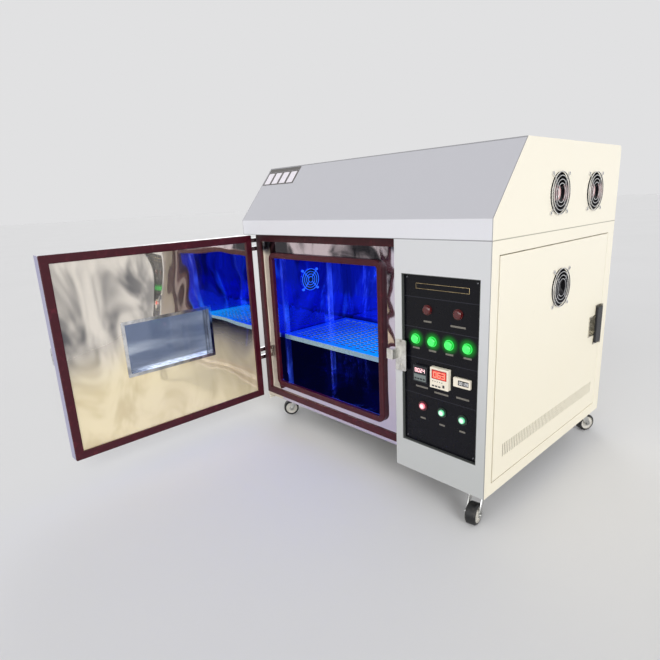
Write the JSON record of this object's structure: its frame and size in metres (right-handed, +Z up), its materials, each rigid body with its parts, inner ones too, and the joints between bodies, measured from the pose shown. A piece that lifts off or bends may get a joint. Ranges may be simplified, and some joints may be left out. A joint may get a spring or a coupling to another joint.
{
  "type": "environmental test chamber",
  "caption": "Free-standing ultraviolet test chamber: sloped hood, left-hinged window door, lit stainless chamber with a slotted shelf, control column, side service door and casters.",
  "frame": {"origin": "on the floor under the middle of the cabinet, casters standing on Z 0", "axes": "+Z up, -Y out of the front, +X towards the control column"},
  "size_m": [1.1368, 1.572, 1.03],
  "materials": {
    "cabinet_paint": "satin powder coat",
    "front_paint": "satin powder coat",
    "mirror_steel": "mirror polished",
    "plated_steel": "bright plated",
    "frame_steel": "satin paint",
    "galvanised_steel": "galvanised",
    "seal_rubber": "matt maroon rubber",
    "mineral_wool": "matt fibre",
    "window_glass": "clear",
    "lamp_glass": "clear tube",
    "white_plastic": "matt",
    "black_plastic": "matt",
    "panel_black": "gloss",
    "gear_grey": "matt",
    "red_lens": "gloss",
    "green_lens": "gloss, lit",
    "button_white": "gloss, lit",
    "button_pink": "gloss, lit",
    "tyre_black": "matt"
  },
  "bodies": {
    "cabinet": {"base_frame": "frame_steel", "left_side_panel": "cabinet_paint", "rear_panel": "cabinet_paint", "right_side_frame": "cabinet_paint", "hood_shell": "front_paint", "control_column": "front_paint", "door_frame": "mirror_steel", "chamber_liner": "mirror_steel", "insulation": "mineral_wool", "frame_seals": "seal_rubber", "shelf_uprights": "mirror_steel", "uv_tubes": "lamp_glass", "lamp_holders": "white_plastic", "mounting_plates": "galvanised_steel", "control_gear": "gear_grey", "control_panel": "panel_black", "red_lamps": "red_lens", "green_lamps": "green_lens", "timer": "black_plastic", "temperature_controller": "white_plastic", "hour_counter": "white_plastic", "button_bezels": "black_plastic", "keeper": "plated_steel", "hinge_brackets": "plated_steel", "hinge_pins": "plated_steel", "caster_plates": "plated_steel", "cable_gland": "black_plastic", "fan_housings": "black_plastic", "fan_guards": "plated_steel"},
    "door": {"door_skin": "front_paint", "door_inner_panel": "mirror_steel", "door_insulation": "mineral_wool", "door_seal": "seal_rubber", "window_glass": "window_glass", "window_trim": "mirror_steel", "door_hinge_leaves": "plated_steel", "latch_case": "plated_steel"},
    "latch_lever": {"latch_lever": "plated_steel"},
    "latch_bolt": {"latch_bolt": "plated_steel"},
    "side_door": {"side_door": "cabinet_paint", "side_fan_housing": "black_plastic", "side_fan_guard": "plated_steel", "side_latch_dish": "plated_steel"},
    "side_latch_paddle": {"side_latch_paddle": "black_plastic"},
    "shelf": {"shelf": "mirror_steel"},
    "button_left": {"button_left": "button_pink"},
    "button_middle": {"button_middle": "button_white"},
    "button_right": {"button_right": "button_white"},
    "hood_rotor_front": {"hood_rotor_front": "black_plastic"},
    "hood_rotor_rear": {"hood_rotor_rear": "black_plastic"},
    "wall_rotor": {"wall_rotor": "black_plastic"},
    "side_rotor": {"side_rotor": "black_plastic"},
    "caster_fork_front_right": {"caster_fork_front_right": "plated_steel"},
    "caster_wheel_front_right": {"caster_wheel_front_right": "tyre_black"},
    "caster_fork_front_left": {"caster_fork_front_left": "plated_steel"},
    "caster_wheel_front_left": {"caster_wheel_front_left": "tyre_black"},
    "caster_fork_rear_right": {"caster_fork_rear_right": "plated_steel"},
    "caster_wheel_rear_right": {"caster_wheel_rear_right": "tyre_black"},
    "caster_fork_rear_left": {"caster_fork_rear_left": "plated_steel"},
    "caster_wheel_rear_left": {"caster_wheel_rear_left": "tyre_black"}
  },
  "joints": [
    {"name": "door_swing", "type": "hinge", "parent": "cabinet", "child": "door", "pos_m": [-0.527, -0.39, 0.5], "axis": [0, 0, -1], "range_deg": [-90, 30]},
    {"name": "latch_lever_turn", "type": "hinge", "parent": "door", "child": "latch_lever", "pos_m": [-0.581, -1.052, 0.46], "axis": [1, 0, 0], "range_deg": [0, 90]},
    {"name": "latch_bolt_slide", "type": "slide", "parent": "door", "child": "latch_bolt", "axis": [0, -1, 0], "range_m": [0, 0.016]},
    {"name": "side_door_swing", "type": "hinge", "parent": "cabinet", "child": "side_door", "pos_m": [0.515, -0.36, 0.45], "axis": [0, 0, -1], "range_deg": [0, 100]},
    {"name": "side_latch_pull", "type": "hinge", "parent": "side_door", "child": "side_latch_paddle", "pos_m": [0.5315, 0.341, 0.437], "axis": [0, 0, 1], "range_deg": [0, 40]},
    {"name": "shelf_slide", "type": "slide", "parent": "cabinet", "child": "shelf", "axis": [0, -1, 0], "range_m": [0, 0.15]},
    {"name": "button_left_press", "type": "slide", "parent": "cabinet", "child": "button_left", "axis": [0, 1, 0], "range_m": [0, 0.003], "stiffness_N_per_m": 400},
    {"name": "button_middle_press", "type": "slide", "parent": "cabinet", "child": "button_middle", "axis": [0, 1, 0], "range_m": [0, 0.003], "stiffness_N_per_m": 400},
    {"name": "button_right_press", "type": "slide", "parent": "cabinet", "child": "button_right", "axis": [0, 1, 0], "range_m": [0, 0.003], "stiffness_N_per_m": 400},
    {"name": "hood_rotor_front_spin", "type": "hinge", "parent": "cabinet", "child": "hood_rotor_front", "pos_m": [0.512, -0.054, 0.889], "axis": [1, 0, 0], "continuous": true},
    {"name": "hood_rotor_rear_spin", "type": "hinge", "parent": "cabinet", "child": "hood_rotor_rear", "pos_m": [0.512, 0.201, 0.889], "axis": [1, 0, 0], "continuous": true},
    {"name": "wall_rotor_spin", "type": "hinge", "parent": "cabinet", "child": "wall_rotor", "pos_m": [-0.435, -0.175, 0.588], "axis": [1, 0, 0], "continuous": true},
    {"name": "side_rotor_spin", "type": "hinge", "parent": "side_door", "child": "side_rotor", "pos_m": [0.512, -0.006, 0.616], "axis": [1, 0, 0], "continuous": true},
    {"name": "caster_front_right_swivel", "type": "hinge", "parent": "cabinet", "child": "caster_fork_front_right", "pos_m": [0.486, -0.374, 0.08], "axis": [0, 0, 1], "continuous": true},
    {"name": "caster_front_right_roll", "type": "hinge", "parent": "caster_fork_front_right", "child": "caster_wheel_front_right", "pos_m": [0.49086, -0.40158, 0.0315], "axis": [0.9848, 0.1736, 0], "continuous": true},
    {"name": "caster_front_left_swivel", "type": "hinge", "parent": "cabinet", "child": "caster_fork_front_left", "pos_m": [-0.473, -0.242, 0.08], "axis": [0, 0, 1], "continuous": true},
    {"name": "caster_front_left_roll", "type": "hinge", "parent": "caster_fork_front_left", "child": "caster_wheel_front_left", "pos_m": [-0.48985, -0.26436, 0.0315], "axis": [0.7986, -0.6018, 0], "continuous": true},
    {"name": "caster_rear_right_swivel", "type": "hinge", "parent": "cabinet", "child": "caster_fork_rear_right", "pos_m": [0.477, 0.366, 0.08], "axis": [0, 0, 1], "continuous": true},
    {"name": "caster_rear_right_roll", "type": "hinge", "parent": "caster_fork_rear_right", "child": "caster_wheel_rear_right", "pos_m": [0.491, 0.39025, 0.0315], "axis": [-0.866, 0.5, 0], "continuous": true},
    {"name": "caster_rear_left_swivel", "type": "hinge", "parent": "cabinet", "child": "caster_fork_rear_left", "pos_m": [-0.473, 0.366, 0.08], "axis": [0, 0, 1], "continuous": true},
    {"name": "caster_rear_left_roll", "type": "hinge", "parent": "caster_fork_rear_left", "child": "caster_wheel_rear_left", "pos_m": [-0.47786, 0.39358, 0.0315], "axis": [-0.9848, -0.1736, 0], "continuous": true}
  ],
  "couplings": [
    {"joint": "latch_bolt_slide", "follows": "latch_lever_turn", "m_per_rad": 0.010186}
  ]
}
